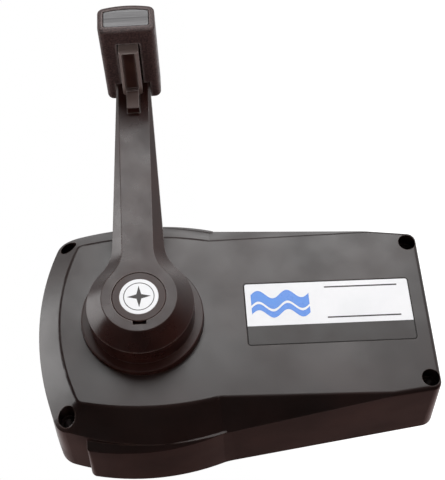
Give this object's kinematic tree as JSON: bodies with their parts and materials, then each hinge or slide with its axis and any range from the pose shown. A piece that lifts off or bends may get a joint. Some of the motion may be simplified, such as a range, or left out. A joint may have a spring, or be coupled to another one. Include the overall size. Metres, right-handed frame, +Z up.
{
  "type": "boat throttle control lever",
  "caption": "Side-mount single-lever engine control: bevelled cover, faceted lever with neutral-lock trigger, centre button, shift and throttle sectors.",
  "frame": {"origin": "on the lever's axis, in the plane of the cover's back rim, which rests on the panel", "axes": "+Z up with the lever in neutral, +Y into the panel the control is screwed to, +X towards the cable end"},
  "size_m": [0.2321, 0.1352, 0.2451],
  "materials": {
    "cover_plastic": "satin",
    "flange_plastic": "satin",
    "label_sheet": "gloss",
    "zinc_steel": "satin",
    "nylon": "satin",
    "bright_steel": "gloss",
    "spring_steel": "satin",
    "painted_alloy": "satin",
    "grip_rubber": "matte",
    "cap_plastic": "satin",
    "gear_steel": "satin",
    "trigger_plastic": "satin"
  },
  "bodies": {
    "base": {"housing": "cover_plastic", "gate_flange": "flange_plastic", "label_plate": "label_sheet", "back_plate": "zinc_steel", "plate_screws": "zinc_steel", "front_bush": "nylon", "rear_bush": "nylon", "thrust_washer": "nylon", "shift_pivot": "bright_steel", "throttle_pivot": "bright_steel", "sector_clips": "spring_steel", "detent_post": "zinc_steel", "detent_leaf": "spring_steel", "detent_roller": "bright_steel", "cable_anchor": "nylon", "anchor_straps": "zinc_steel", "anchor_screws": "zinc_steel"},
    "lever": {"lever_arm": "painted_alloy", "grip": "grip_rubber", "grip_cap": "cap_plastic", "main_shaft": "bright_steel", "hub_nut": "zinc_steel", "retaining_ring": "spring_steel", "drive_gear": "gear_steel", "detent_wheel": "gear_steel"},
    "trigger": {"lock_trigger": "trigger_plastic", "lock_rod": "bright_steel", "lock_dog": "gear_steel", "lock_spring": "spring_steel"},
    "button": {"throttle_button": "flange_plastic", "button_badge": "label_sheet", "button_plunger": "bright_steel", "button_spring": "spring_steel"},
    "shift": {"shift_sector": "zinc_steel", "shift_cable_pin": "bright_steel"},
    "throttle": {"throttle_sector": "zinc_steel", "throttle_cable_pin": "bright_steel"}
  },
  "joints": [
    {"name": "lever_turn", "type": "hinge", "parent": "base", "child": "lever", "pos_m": [0, 0, 0], "axis": [0, -1, 0], "range_deg": [-65, 90]},
    {"name": "trigger_lift", "type": "slide", "parent": "lever", "child": "trigger", "axis": [0, 0, 1], "range_m": [0, 0.005], "stiffness_N_per_m": 400, "springref_m": -0.005, "deforming": ["lock_spring"]},
    {"name": "button_press", "type": "slide", "parent": "lever", "child": "button", "axis": [0, 1, 0], "range_m": [0, 0.004], "stiffness_N_per_m": 600, "springref_m": -0.004, "deforming": ["button_spring"]},
    {"name": "shift_turn", "type": "hinge", "parent": "base", "child": "shift", "pos_m": [0.05321, 0, 0.03556], "axis": [0, -1, 0], "range_deg": [-30.5, 22.2]},
    {"name": "throttle_turn", "type": "hinge", "parent": "base", "child": "throttle", "pos_m": [0.03991, 0, -0.02667], "axis": [0, -1, 0], "range_deg": [-45.5, 33]}
  ],
  "couplings": [
    {"joint": "shift_turn", "follows": "lever_turn", "ratio": -0.33333},
    {"joint": "throttle_turn", "follows": "lever_turn", "ratio": -0.5}
  ]
}
